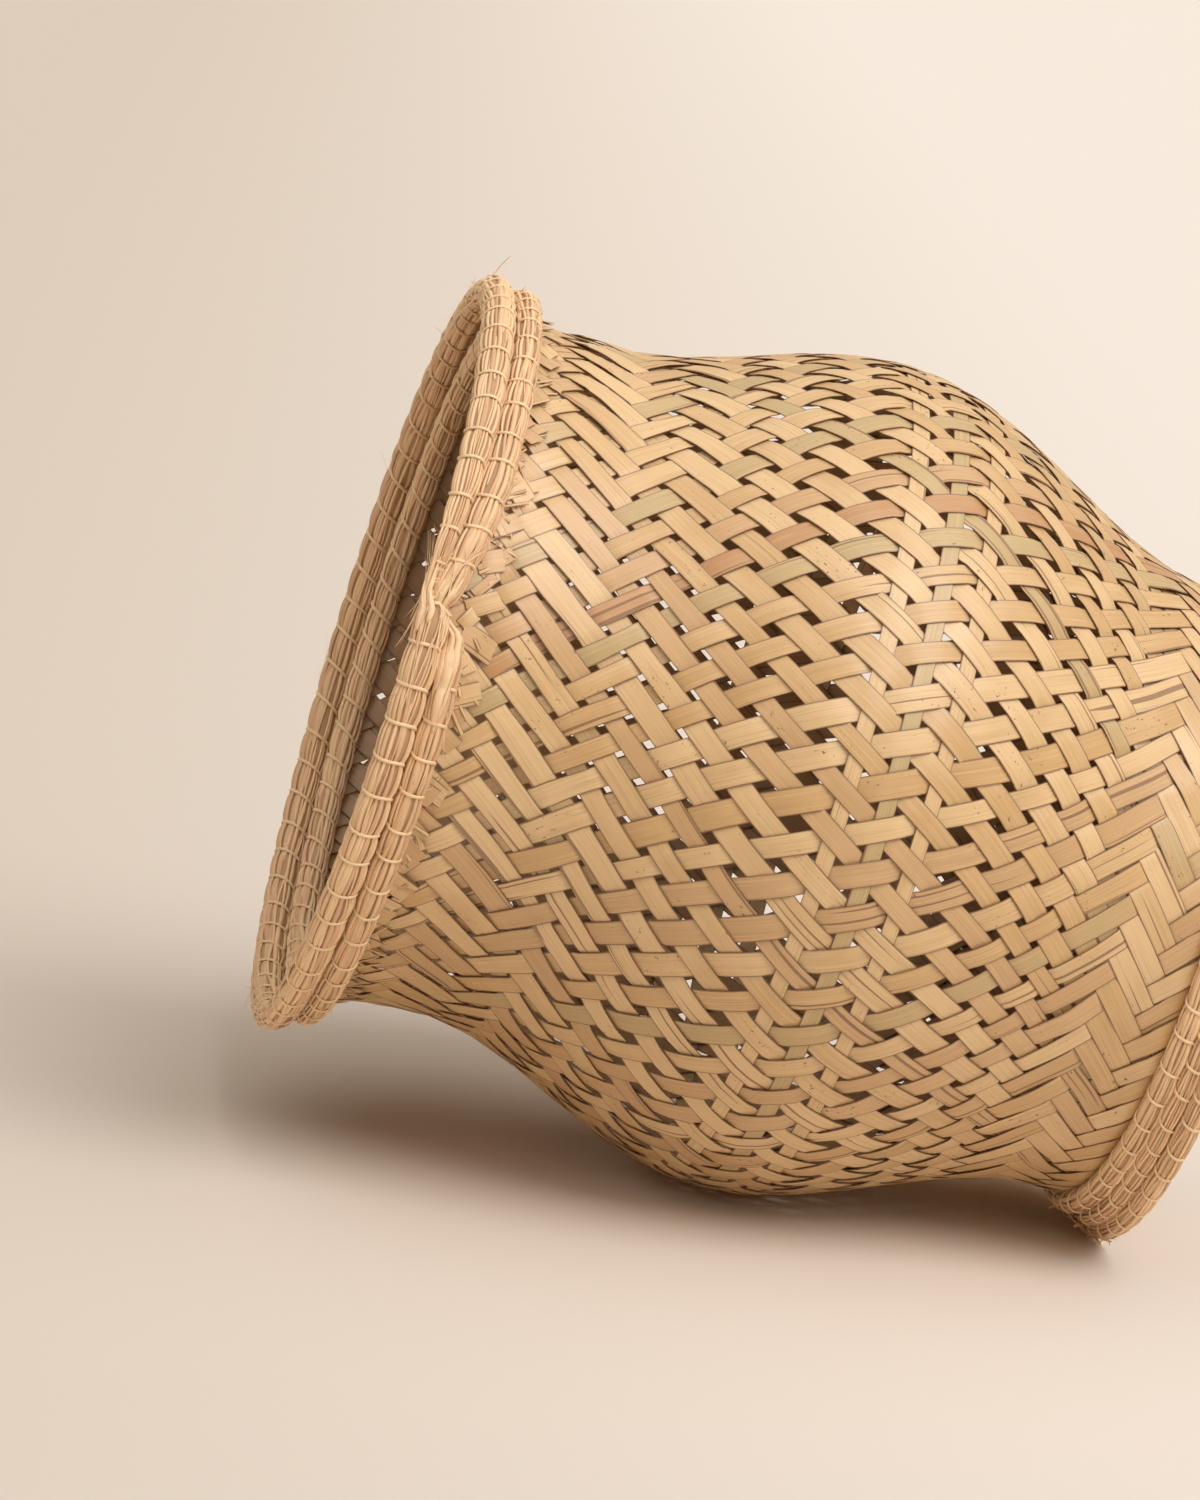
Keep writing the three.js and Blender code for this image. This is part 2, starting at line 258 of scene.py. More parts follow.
class Finish:
    """A material's or the world's node tree, built by expressions."""

    def __init__(self, owner):
        owner.use_nodes = True
        self.tree = owner.node_tree
        self.tree.nodes.clear()

    def node(self, kind, sockets=(), **settings):
        """Adds a node: its settings are set first, then its sockets' values or links. Returns its first output."""
        made = self.tree.nodes.new(f"ShaderNode{kind}")
        for key, value in settings.items():
            setattr(made, key, value)
        for key, value in sockets.items() if isinstance(sockets, dict) else enumerate(sockets):
            if isinstance(value, Value):
                self.tree.links.new(value.socket, made.inputs[key])
            else:
                made.inputs[key].default_value = value
        return Value(self, made.outputs[0]) if made.outputs else None

    def mix(self, factor, first, second):
        """A colour mixed from two colours or colour links, by the mix node's sockets and output for colours."""
        pair = [(*c, 1.0) if isinstance(c, tuple) else c for c in (first, second)]
        return self.node("Mix", {0: factor, 6: pair[0], 7: pair[1]}, data_type="RGBA")[2]

    def noise(self, vector, stretch, detail, roughness=0.5, shift=(0.0, 0.0, 0.0)):
        """Noise over a vector whose parts are first scaled and then shifted."""
        place = self.node("VectorMath", [vector, stretch, shift], operation="MULTIPLY_ADD")
        sockets = {"Vector": place, "Scale": 1.0, "Detail": detail, "Roughness": roughness}
        return self.node("TexNoise", sockets)

    def surface(self, shader):
        self.node("OutputMaterial", {"Surface": shader})


# Each finish: the settings that hold its colours, those colours from the lightest to the spots, its roughness, and
# how much it shows of streaks, spots and painted shade along its edges
LEAF, FIBRE, CORD = "Dried palm leaf", "Bundled leaf fibre", "Lacing cord"
FINISHES = {
    LEAF: ("basket_wall", "straw tan rose green orange spot", 0.44, 0.55, 1.0, 1.0),
    FIBRE: ("basket_bundles", "light dark warm warm warm core", 0.62, 0.5, 0.4, 0.5),
    CORD: ("basket_bundles", "lacing light lacing lacing lacing core", 0.55, 0.5, 0.0, 0.0),
}


def leaf_material(name):
    """Dried leaf whose grain follows each strip or strand by the grain and finish attributes of its piece."""
    if name in bpy.data.materials:
        return bpy.data.materials[name]
    group, keys, roughness, streak, spots, painted_edge_shade = FINISHES[name]
    settings = getattr(bpy.context.scene, group)
    light, dark, third, fourth, fifth, spot = (tuple(getattr(settings, key)) for key in keys.split())
    material = bpy.data.materials.new(name)
    tree = Finish(material)
    grain = tree.node("Attribute", attribute_name="grain")["Vector"]
    traits = tree.node("Attribute", attribute_name="finish")["Vector"]
    tone = tree.node("SeparateXYZ", [traits])
    kind, edge = tone["Y"], tone["Z"].math("ABSOLUTE")

    fine = tree.noise(grain, (16.0, 1900.0, 7.0), 3.0, 0.65)
    broad = tree.noise(grain, (9.0, 620.0, 3.0), 2.0, shift=(3.0, 1.0, 0.0))
    clouds = tree.noise(grain, (38.0, 90.0, 5.0), 3.0, shift=(0.0, 7.0, 2.0))
    body = tree.mix((tone + (clouds - 0.5) + (broad - 0.5) * 0.6).between(0.0, 1.0), dark, light)

    # The kinds of strip between which each further colour comes in, and how strongly
    blush = clouds.between(0.35, 0.65) * 0.3
    further = ((0.50, 0.76, 0.62, third), (0.80, 0.86, 0.52, fourth), (0.94, 0.97, 0.70, fifth))
    for low, high, share, tint in further:
        body = tree.mix(kind.between(low, high) * (share + blush), body, tint)

    # Fine streaks, paler and darker
    pale, line = tuple(c * 1.10 for c in light), tuple(c * 0.68 for c in dark)
    body = tree.mix((1 - fine).between(0.52, 0.72) * 0.45, body, pale)
    body = tree.mix(fine.between(0.50, 0.74) * streak, body, line)

    # Spots in patches, painted shade along edges and in splits, and painted shade on the inner side
    dots = tree.noise(grain, (420.0, 620.0, 11.0), 2.0, 0.55)
    patches = tree.noise(grain, (26.0, 40.0, 17.0), 1.0)
    mark = dots.between(0.645, 0.725) * patches.between(0.52, 0.66) * spots
    # Painted shade: a dark line along each edge, where strips and strands meet and shade falls between them
    rim = edge.between(0.86, 0.97) * (0.45 + broad * 0.9) * painted_edge_shade
    # Painted shade: dark lines along the leaf where it has split, standing in for the shade in the gaps
    split = tree.noise(grain, (6.0, 430.0, 19.0), 0.0, shift=(5.0, 2.0, 0.0)).between(0.745, 0.775)
    mark = mark.math("MAXIMUM", split * spots * 0.8)
    body = tree.mix(mark.math("MAXIMUM", rim), body, spot)
    # Painted shade: where the tone is lowest, mostly the leaf's inner side and the bundles' cores, darkened towards
    # the spot colour
    body = tree.mix((1 - tone.between(-0.05, 0.08)) * 0.40, body, spot)

    height = fine * 0.55 + broad * 0.45 - mark * 0.3
    bump = tree.node("Bump", {"Strength": 0.55, "Distance": 0.00022, "Height": height})
    shine = roughness + (clouds - 0.5) * 0.22 + mark * 0.15
    sockets = {"Base Color": body, "Roughness": shine, "Normal": bump, "Specular IOR Level": 0.85}
    tree.surface(tree.node("BsdfPrincipled", sockets))
    return material


# The wall's shape


class WallShape:
    """The middle of the wall as a line from the mouth's edge down round the bottom turn, measured along itself."""

    def __init__(self, sizes):
        stretches = (
            (sizes.foot_neck, sizes.belly, sizes.belly_rise, math.pi),
            (sizes.belly, sizes.neck, sizes.neck_rise, math.pi),
            (sizes.neck, sizes.mouth, sizes.mouth_rise, math.pi / 2),
        )
        radius, height = [], []
        base = sizes.turn_height
        for start, end, rise, swing in stretches:
            share = np.linspace(0.0, 1.0, 400)[:-1]
            gain = (end - start) / 2 / (1 - math.cos(swing))
            radius.append(start / 2 + gain * (1 - np.cos(swing * share)))
            height.append(base + rise * share)
            base += rise
        middle = sizes.thickness / 2
        reach = sizes.turn - middle
        corner = sizes.foot_neck / 2 - sizes.turn
        bend = np.linspace(math.pi / 2, 0.0, 60)[:-1]
        flat = np.linspace(corner - sizes.flange - MAT_OVERLAP, corner, 20)[:-1]
        self.r = np.concatenate([flat, corner + reach * np.cos(bend), np.concatenate(radius) - middle])[::-1]
        low = sizes.turn_height - reach
        bottom = [np.full(flat.shape, low), sizes.turn_height - reach * np.sin(bend)]
        self.z = np.concatenate([*bottom, np.concatenate(height)])[::-1]
        self.s = np.concatenate([[0.0], np.cumsum(np.hypot(np.diff(self.r), np.diff(self.z)))])
        self.out_r = -np.gradient(self.z, self.s)
        self.out_z = np.gradient(self.r, self.s)

        # Each strip winds as if pulled tight: its turn depends on its distance from the axis
        self.pitch = TURN / sizes.strips
        pull = sizes.reach / (self.r * np.sqrt(self.r**2 - sizes.reach**2))
        turned = np.concatenate([[0.0], np.cumsum((pull[1:] + pull[:-1]) / 2 * np.diff(self.s))])
        drift = np.polyval(ROW_DRIFT, np.minimum(self.s / ROW_DRIFT_UNIT, ROW_DRIFT_END))
        self.row = turned / (self.pitch / 2) + drift
        slope = self.r * np.gradient(self.row, self.s) * self.pitch / 2
        self.sine = slope / np.sqrt(1 + slope**2)
        self.cosine = 1 / np.sqrt(1 + slope**2)
        self.run = np.cumsum(np.gradient(self.s) / self.cosine)

    def read(self, line, s):
        return np.interp(s, self.s, line)

    def at_row(self, row):
        return np.interp(row, self.row, self.s)

    def point(self, s, azimuth, lift):
        """Points at a distance along the line, at an azimuth, lifted outward from the middle."""
        radius = self.read(self.r, s) + lift * self.read(self.out_r, s)
        height = self.read(self.z, s) + lift * self.read(self.out_z, s)
        return np.stack([radius * np.cos(azimuth), radius * np.sin(azimuth), height], 1)


def smooth(x):
    x = np.clip(x, 0.0, 1.0)
    return x * x * (3 - 2 * x)


def anywhere(rng):
    """A random azimuth."""
    return rng.uniform(0, 6.28)


def pattern_seed(rng):
    """Where in the noise a strip or strand has its own pattern."""
    return rng.uniform(0, 90)


def slow_wave(rng, size, pace):
    """A gentle irregular wave of about the given size."""
    parts = [(size / (1 + i), pace * (1 + 0.83 * i) * rng.uniform(0.8, 1.2), rng.uniform(0, 6.3)) for i in range(3)]
    return lambda x: sum(a * np.sin(f * x + p) for a, f, p in parts)


# Making pieces


# Sections of a strip and of a strand: corners in turn as their share across, -1 to 1, and their share above the middle
STRIP_SECTION = ((-1, 1), (-0.36, 1), (0.36, 1), (1, 1), (1, -1), (0.36, -1), (-0.36, -1), (-1, -1))
STRAND_SECTION = ((-1, 0), (-0.45, 0.9), (0.45, 0.9), (1, 0), (0, -1))


def settled(points):
    """The points of the even basket, moved to where the real one has settled."""
    curve = np.polyfit(SETTLED_HEIGHTS, SETTLED_SHIFTS, len(SETTLED_HEIGHTS) - 1)
    shift = np.polyval(curve, points[:, 2])
    return points + np.outer(shift, (math.cos(SETTLED_TOWARD), math.sin(SETTLED_TOWARD), 0.0))


def round_section(sides):
    return [(math.cos(TURN * i / sides), math.sin(TURN * i / sides)) for i in range(sides)]


def leaf_lift(sizes, u, a, t):
    """How far a leaf strip's surface lies above its middle: crowned, and closed where the strip ends."""
    return sizes.crown * (0.4 - a * a) + t * sizes.strip_thickness / 2 * (np.abs(u) < 1)


def kept_above(places, floor):
    """The points, those below the floor raised to it."""
    places[:, 2] = np.maximum(places[:, 2], floor)
    return places


def ribbons(name, paths, along, section):
    """A mesh of like closed ribbons. Each starts as a bmesh grid whose columns go round the section, and its path
    then lays it in place and returns the points with the grain and finish that its material reads."""
    bm = bmesh.new()
    for _ in paths:
        bmesh.ops.create_grid(bm, x_segments=along, y_segments=len(section), size=1.0)
    mesh = bpy.data.meshes.new(name)
    bm.to_mesh(mesh)
    bm.free()
    flat = np.empty(len(mesh.vertices) * 3, np.float32)
    mesh.vertices.foreach_get("co", flat)
    flat = flat.reshape(-1, 3).astype(float)
    each = len(flat) // len(paths)
    corners = np.array([*section, section[0]], float)
    # In the map for baking, each ribbon has a row of its own, with its section unrolled across it
    steps = np.hypot(*(np.diff(corners, axis=0) * (1.0, 0.15)).T) + 0.02
    around = np.concatenate([[0.0], np.cumsum(steps) / steps.sum()])
    places, grains, finishes, rows = [], [], [], []
    for i, path in enumerate(paths):
        part = flat[i * each : (i + 1) * each]
        column = np.rint((part[:, 1] + 1) / 2 * len(section)).astype(int)
        place, grain, finish = path(part[:, 0], corners[column, 0], corners[column, 1])
        places.append(place)
        grains.append(np.stack([np.broadcast_to(value, each) for value in grain], 1))
        finishes.append(np.stack([np.broadcast_to(value, each) for value in finish], 1))
        rows.append(np.stack([0.502 + 0.496 * part[:, 0], (i + 0.03 + 0.94 * around[column]) / len(paths)], 1))
    mesh.vertices.foreach_set("co", settled(np.concatenate(places)).astype(np.float32).ravel())
    for label, values in (("grain", grains), ("finish", finishes)):
        layer = mesh.attributes.new(label, "FLOAT_VECTOR", "POINT")
        layer.data.foreach_set("vector", np.concatenate(values).astype(np.float32).ravel())
    used = np.empty(len(mesh.loops), np.int32)
    mesh.loops.foreach_get("vertex_index", used)
    mesh.uv_layers.new(name="OFBake").data.foreach_set("uv", np.concatenate(rows).astype(np.float32)[used].ravel())
    bm = bmesh.new()
    bm.from_mesh(mesh)
    bmesh.ops.remove_doubles(bm, verts=bm.verts[:], dist=1e-6)
    bmesh.ops.recalc_face_normals(bm, faces=bm.faces[:])
    bm.to_mesh(mesh)
    bm.free()
    mesh.shade_smooth()
    if section is STRIP_SECTION:
        mesh.set_sharp_from_angle(angle=math.radians(40))
    return mesh


def put(name, data):
    """A new object in the scene."""
    made = bpy.data.objects.new(name, data)
    bpy.context.scene.collection.objects.link(made)
    return made


def add_piece(name, paths, along, section, finish, nodes=()):
    """Puts a mesh of like ribbons in the scene as a piece of the basket."""
    mesh = ribbons(name, paths, along, section)
    mesh.materials.append(leaf_material(finish))
    piece = put(name, mesh)
    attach(piece, "root")
    if nodes:
        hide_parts(*nodes)


def strip_traits(rng):
    """Tone and kind of one strip: most are straw or tan, some rose, a few green."""
    kind = rng.choice([rng.uniform(0.0, 0.5)] * 12 + [rng.uniform(0.56, 0.74)] * 3 + [rng.uniform(0.79, 0.86)] * 2)
    return rng.uniform(0.12, 1.0), kind


def float_rows(marks):
    """For each row, the first row of the float that it belongs to, and the number of rows in that float."""
    first = []
    for i, mark in enumerate(marks):
        first.append(first[-1] if i and marks[i - 1] == mark else i)
    return np.array(first), np.array([first.count(start) for start in first])


def plaited_strip(wall, sizes, rng, azimuth, hand, traits):
    """The path of one strip from the rim to under the base. hand is 1 for set a and -1 for set b."""
    first, last = wall.row[0], wall.row[-1]
    width = sizes.strip_width * rng.uniform(0.88, 1.12)
    wander = slow_wave(rng, 0.00055, 0.5)
    widening = slow_wave(rng, 0.025, 0.6)
    shrunk = slow_wave(rng, 0.075, 0.9)
    ripple = slow_wave(rng, 0.00006, 2.1)
    tilt = slow_wave(rng, 0.00012, 1.1)
    tone, kind = traits
    seed = pattern_seed(rng)
    sides = np.array([1.0 if mark == "a" else -1.0 for mark in OUTSIDE]) * hand
    starts, counts = float_rows(OUTSIDE)
    # A float bows out by chance, more where it is long and in the five rows at the mouth
    looseness = {start: min(rng.expovariate(1.0), 2.8) for start in starts.tolist()}
    bows = np.array([looseness[start] for start in starts.tolist()]) * sizes.bow * counts**1.5 / 5
    bows[:5] *= 1.6

    def path(u, a, t):
        row = first + (last - first) * (u + 1) / 2
        s = wall.at_row(row)
        sine, cosine, radius = (wall.read(line, s) for line in (wall.sine, wall.cosine, wall.r))
        spacing = radius * wall.pitch * cosine
        # Where the strips crowd they lie edge on edge, and in the upper rows some have shrunk
        crowded = smooth((1.10 - spacing / width) / 0.12)
        half = np.minimum(width * (1 + widening(row)), spacing * 1.05) / 2
        half = half * (1 - np.maximum(shrunk(row), 0) * smooth((13 - row) / 5))
        off = a * half + wander(row) * (1 - crowded)
        here = np.clip(s - hand * off * sine, 0.0, wall.s[-1])
        angle_at = azimuth + hand * row * wall.pitch / 2 + off * cosine / radius
        # Crossings are counted where this point meets the other set
        row_here = wall.read(wall.row, here)
        crossing = hand * (angle_at - azimuth) / wall.pitch + row_here / 2
        crossing = np.clip(crossing, 0, len(OUTSIDE) - 1.001)
        before = np.floor(crossing).astype(int)
        share = crossing - before
        # A strip stays level over the width of the one that it crosses
        flat = np.clip(0.46 * sizes.strip_width / spacing, 0.2, 0.38)
        side = sides[before] + (sides[before + 1] - sides[before]) * smooth((share - flat) / (1 - 2 * flat))
        lift = sizes.lift * side
        for hoop in HOOP_ROWS:
            near = 1 - smooth((np.abs(row_here - hoop) - 0.25) / 0.2)
            lift = lift * (1 - near) + sizes.hoop_lift * sides[hoop] * near
        nearest = np.rint(crossing).astype(int)
        float_share = np.clip((crossing + 0.5 - starts[nearest]) / counts[nearest], 0, 1)
        lift = lift + sides[nearest] * bows[nearest] * np.sin(np.pi * float_share) ** 2
        lift = lift + leaf_lift(sizes, u, a, t) + ripple(row) + a * (tilt(row) + sizes.shingle * crowded)
        places = wall.point(here, angle_at, lift)
        # The leaf's inner side is painted darker, as painted shade inside the basket
        return places, (wall.read(wall.run, s), a * half, seed), (tone - (t < 0) * 1.3, kind, a)

    return path


class BASKET_OT_plait_wall(Operator):
    """Plaits the wall from its two sets of slanting strips"""

    bl_idname = "basket.plait_wall"
    bl_label = "Plait the wall"

    def execute(self, context):
        sizes = context.scene.basket_wall
        wall = WallShape(sizes)
        steps = int(wall.row[-1] - wall.row[0]) * 6
        rng = random.Random(41)
        for label, hand in (("right", 1), ("left", -1)):
            strips = []
            for i in range(sizes.strips):
                traits = strip_traits(rng)
                if hand == 1 and i == sizes.orange_strip:
                    traits = (0.6, 1.0)
                strips.append(plaited_strip(wall, sizes, rng, sizes.phase + i * wall.pitch, hand, traits))
            for half in (0, 1):
                share = strips[half * len(strips) // 2 : (half + 1) * len(strips) // 2]
                add_piece(f"strips_{label}_{half + 1}", share, steps, STRIP_SECTION, LEAF, ["woven_wall"])
        return {"FINISHED"}


class BASKET_OT_tuck_ends(Operator):
    """Folds the strips' cut ends back under the rim, where some have split"""

    bl_idname = "basket.tuck_ends"
    bl_label = "Tuck the ends"

    def execute(self, context):
        sizes = context.scene.basket_wall
        wall = WallShape(sizes)
        rng = random.Random(23)
        apart = TURN / sizes.tucked_ends
        flaps = [self.flap(wall, sizes, rng, i * apart, 0.0044, 0.0014) for i in range(sizes.tucked_ends)]
        add_piece("tucked_ends", flaps, 8, STRIP_SECTION, LEAF)
        slivers = [self.flap(wall, sizes, rng, anywhere(rng), 0.0008, 0.0035) for _ in range(sizes.split_ends)]
        add_piece("split_ends", slivers, 7, STRAND_SECTION, LEAF)
        return {"FINISHED"}

    def flap(self, wall, sizes, rng, azimuth, half, curl):
        """The path of one end, given half its width and how far its tip may curl away from the wall."""
        lean = rng.choice((-1, 1)) * math.radians(rng.uniform(22, 62))
        reach = rng.uniform(0.008, 0.022)
        begin = rng.uniform(0.007, 0.0095)
        half = half * rng.uniform(0.6, 1.3)
        base = rng.uniform(0.0011, 0.0017)
        rise, curl = rng.uniform(0.0, 0.0012), curl * rng.uniform(-0.1, 1.0)
        azimuth += rng.uniform(-0.02, 0.02)
        cut = rng.uniform(-0.5, 0.5)
        seed = pattern_seed(rng)
        tone, kind = strip_traits(rng)

        def path(u, a, t):
            share = (u + 1) / 2
            along = share * (reach + cut * half * a)
            s = begin + along * math.cos(lean) - a * half * math.sin(lean)
            radius = wall.read(wall.r, s)
            turned = azimuth + (along * math.sin(lean) + a * half * math.cos(lean)) / radius
            lift = base + rise * np.sin(np.pi * share) + curl * share**3 + leaf_lift(sizes, u, a, t)
            return wall.point(s, turned, lift), (along, a * half, seed), (tone, kind, a)

        return path


class BASKET_OT_thread_hoops(Operator):
    """Threads the three flat hoops through the plaiting round the belly"""

    bl_idname = "basket.thread_hoops"
    bl_label = "Thread the hoops"

    def execute(self, context):
        sizes = context.scene.basket_hoops
        wall = WallShape(context.scene.basket_wall)
        rng = random.Random(5)
        # Each hoop's tone and kind of leaf
        traits = {"upper": (0.75, 0.3), "middle": (0.45, 0.87), "lower": (0.6, 0.45)}
        for row, (label, (tone, kind)) in zip(HOOP_ROWS, traits.items()):
            middle = float(wall.at_row(row))
            sway = slow_wave(rng, 0.00025, 2.0)
            bow = slow_wave(rng, 0.00006, 9.0)
            start = anywhere(rng)
            lap = 0.16

            def path(u, a, t, middle=middle, sway=sway, bow=bow, start=start, tone=tone, kind=kind):
                azimuth = start + (math.pi + lap) * u
                s = middle + a * sizes.width / 2 + sway(azimuth)
                over = smooth((np.abs(u) - 1 + lap / math.pi) / 0.02) * np.sign(u) * 0.00018
                lift = bow(azimuth) + over - t * sizes.thickness / 2 * (np.abs(u) < 1)
                radius = float(wall.read(wall.r, middle))
                grain = (azimuth * radius, a * sizes.width / 2, start * 9)
                return wall.point(s, azimuth, lift), grain, (tone, kind, a)

            add_piece(f"hoop_{label}", [path], 420, STRIP_SECTION, LEAF, [f"belly_hoop_{label}"])
        return {"FINISHED"}


class BASKET_OT_weave_base(Operator):
    """Weaves the flat mat that closes the bottom"""

    bl_idname = "basket.weave_base"
    bl_label = "Weave the base"

    def execute(self, context):
        sizes = context.scene.basket_hoops
        strip = context.scene.basket_wall
        low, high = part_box("base_mat")
        radius, level = high.x + MAT_OVERLAP, (low.z + high.z) / 2
        rng = random.Random(17)
        count = int(radius / sizes.mat_pitch)
        paths = []
        for turned in (False, True):
            for i in range(-count, count + 1):
                paths.append(self.strip(sizes, strip, rng, i, turned, radius, level))
        add_piece("base_strips", paths, 44, STRIP_SECTION, LEAF, ["base_mat"])
        return {"FINISHED"}

    def strip(self, sizes, strip, rng, i, turned, radius, level):
        """The path of one strip, i strips from the middle, cut off at the mat's round edge."""
        middle = i * sizes.mat_pitch
        half = strip.strip_width * rng.uniform(0.46, 0.52)
        reach = math.sqrt(radius**2 - max(abs(middle) - half, 0.0) ** 2) if abs(middle) < radius else 0.01
        tone, kind = strip_traits(rng)
        seed = pattern_seed(rng)

        def path(u, a, t):
            along = u * reach
            across = middle + a * half
            # Two over and two under, one step on in each strip
            beat = (along / sizes.mat_pitch + i * (1 if turned else -1) + (2.5 if turned else 0.5)) / 4
            side = np.clip(np.sin(TURN * beat) * 2.4, -1, 1)
            lift = side * sizes.mat_lift + leaf_lift(strip, u, a, t)
            edge = np.hypot(along, across)
            shrink = np.minimum(1.0, radius / np.maximum(edge, 1e-6))
            pair = (across * shrink, along * shrink) if turned else (along * shrink, across * shrink)
            places = np.stack([pair[0], pair[1], level + lift], 1)
            return places, (along, a * half, seed), (tone, kind, a)

        return path


# Fibre bundles and their lacing


def spaced_turns(rng, start, span, count, jitter):
    """Where each stitch starts: evenly spaced angles with a little hand-made jitter between the two ends."""
    turns = start + np.linspace(0.0, span, count + 1)
    turns[1:-1] += [rng.uniform(-jitter, jitter) * span / count for _ in turns[1:-1]]
    return turns


class Coil:
    """A fibre bundle bent into a ring, and the turns of the cord that laces it. turn_angles says where each turn
    starts, measured round the ring from the first one, and face is the side of the bundle that shows most."""

    def __init__(self, name, turn_angles, first, sizes, height=None, face=0.0, lap=None):
        self.name, self.node = name, f"{name}_coil"
        low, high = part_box(self.node)
        reach = (high.z - low.z) / 2 if height is None else high.z - height
        self.r, self.z, self.radius = high.x - reach, high.z - reach, BUNDLE_RADII[name]
        self.first, self.face, self.lap, self.joint = first, face, lap, None
        self.pinch_depth = sizes.pinch
        self.turn_angles = np.asarray(turn_angles)
        self.turns = len(turn_angles) - 1

    def skew(self, turn_angle):
        """How far round one stitch has gone: slower on the side that shows, so that it lies nearly square there."""
        return (turn_angle - 0.75 * np.sin(turn_angle - self.face)) / TURN

    def azimuth(self, turns):
        whole = np.floor(turns / self.turns)
        within = np.interp(turns - whole * self.turns, np.arange(self.turns + 1), self.turn_angles)
        return self.first + within + whole * TURN

    def pinch(self, azimuth, turn_angle):
        """The distance to the nearest stitch, measured round the ring."""
        round_trip = np.mod(azimuth - self.first, TURN)
        turns = np.interp(round_trip, self.turn_angles, np.arange(self.turns + 1))
        phase = np.mod(turns - self.skew(turn_angle) + 0.5, 1.0) - 0.5
        gap = np.interp(turns, np.arange(self.turns) + 0.5, np.diff(self.turn_angles)) * self.r
        return phase * gap

    def step_over(self, other, angles, shares, sizes):
        """Lets the bundle near its lap move a share of the way to another one and change its size."""
        self.joint = (other, angles, shares, sizes)

    def heart(self, azimuth):
        """The bundle's middle there, as a distance from the axis and a height, and its size there."""
        if self.joint is None:
            return self.r, self.z, 1.0
        other, angles, shares, sizes = self.joint
        from_lap = np.mod(azimuth - self.lap + math.pi, TURN) - math.pi
        share = np.interp(from_lap, angles, shares)
        r, z = self.r + (other.r - self.r) * share, self.z + (other.z - self.z) * share
        return r, z, np.interp(from_lap, angles, sizes)

    def swell(self, azimuth, turn_angle):
        """The bundle's radius there: drawn in by the stitches, and thicker or thinner near its lap."""
        away = self.pinch(azimuth, turn_angle)
        drawn = sum(share * np.exp(-((away / width) ** 2)) for share, width in DENT)
        size = 1.04 - self.pinch_depth * drawn
        return self.radius * size * self.heart(azimuth)[2]

    def point(self, azimuth, turn_angle, distance):
        r, z, _ = self.heart(azimuth)
        r, z = r + distance * np.cos(turn_angle), z + distance * np.sin(turn_angle)
        return np.stack([r * np.cos(azimuth), r * np.sin(azimuth), z], 1)

    def strand(self, sizes, rng, lane, lanes, start, span, floor):
        """One fibre strand that lies along part of the bundle, its ends tapered and tucked in."""
        width = TURN * self.radius / lanes * rng.uniform(0.45, 1.8) / 2
        middle = TURN * (lane + rng.uniform(-0.3, 0.3)) / lanes
        sway = slow_wave(rng, 0.12, rng.uniform(4, 11))
        thin = slow_wave(rng, 0.14, rng.uniform(6, 18))
        lift = rng.uniform(-0.45, 0.45) * sizes.strand_thickness
        tone, kind = min(max(rng.gauss(0.60, 0.28), 0), 1), rng.choice([0.2, 0.2, 0.3, 0.74])
        seed = pattern_seed(rng)

        def path(u, a, t):
            azimuth = start + span * (u + 1) / 2
            taper = np.sqrt(np.minimum(1.0, (1 - np.abs(u)) * span / 2 * self.r / 0.012))
            half = width * taper * (1 + thin(azimuth))
            turn_angle = middle + sway(azimuth) + a * half / self.radius
            base = self.swell(azimuth, turn_angle) - sizes.strand_thickness * 1.2
            top = sizes.strand_thickness * (1.3 * np.maximum(t, 0) + 0.5 * np.minimum(t, 0)) * taper
            places = kept_above(self.point(azimuth, turn_angle, base + top + lift * taper), floor)
            return places, (azimuth * self.r, a * half, seed), (tone, kind, a)

        return path

    def strands(self, sizes, rng, lanes, floor):
        """Strands side by side all round the bundle, each lapped with the next one in its lane."""
        paths = []
        for lane in range(lanes):
            pieces = max(2, round(TURN * self.r / (sizes.strand_length * rng.uniform(0.8, 1.25))))
            each = TURN / pieces
            start = anywhere(rng)
            for i in range(pieces):
                lap = rng.uniform(0.008, 0.022) / self.r
                paths.append(self.strand(sizes, rng, lane, lanes, start + i * each - lap, each + 2 * lap, floor))
        return paths

    def core(self, sizes, floor):
        """The shaded inside of the bundle, seen only between the strands."""

        def path(u, a, t):
            azimuth, turn_angle = math.pi * u, np.arctan2(t, a)
            distance = self.swell(azimuth, turn_angle) - sizes.strand_thickness * 1.15
            places = kept_above(self.point(azimuth, turn_angle, distance), floor + 0.0003)
            return places, (azimuth * self.r, turn_angle * self.radius, 3.0), (0.0, 0.0, 1.0)

        return path

    def cord(self, sizes, floor):
        """The lacing, wound round the bundle and sunk a little into it."""
        half = sizes.cord / 2

        def centre(turns):
            turn_angle = TURN * turns
            azimuth = self.azimuth(self.skew(turn_angle))
            distance = self.swell(azimuth, turn_angle) + half * 0.55
            middle = kept_above(self.point(azimuth, turn_angle, distance), floor + half)
            return middle, self.point(azimuth, turn_angle, 0.0)

        def path(u, a, t):
            turns = self.turns * (u + 1) / 2
            middle, heart = centre(turns)
            ahead = centre(turns + 0.01)[0] - centre(turns - 0.01)[0]
            ahead /= np.linalg.norm(ahead, axis=1)[:, None]
            out = middle - heart
            out -= ahead * (out * ahead).sum(1)[:, None]
            out /= np.linalg.norm(out, axis=1)[:, None]
            side = np.cross(ahead, out)
            places = middle + half * (0.7 * out * t[:, None] + side * a[:, None])
            return places, (turns * TURN * self.radius, a * half, 5.0), (0.75, 0.2, 0.0)

        return path

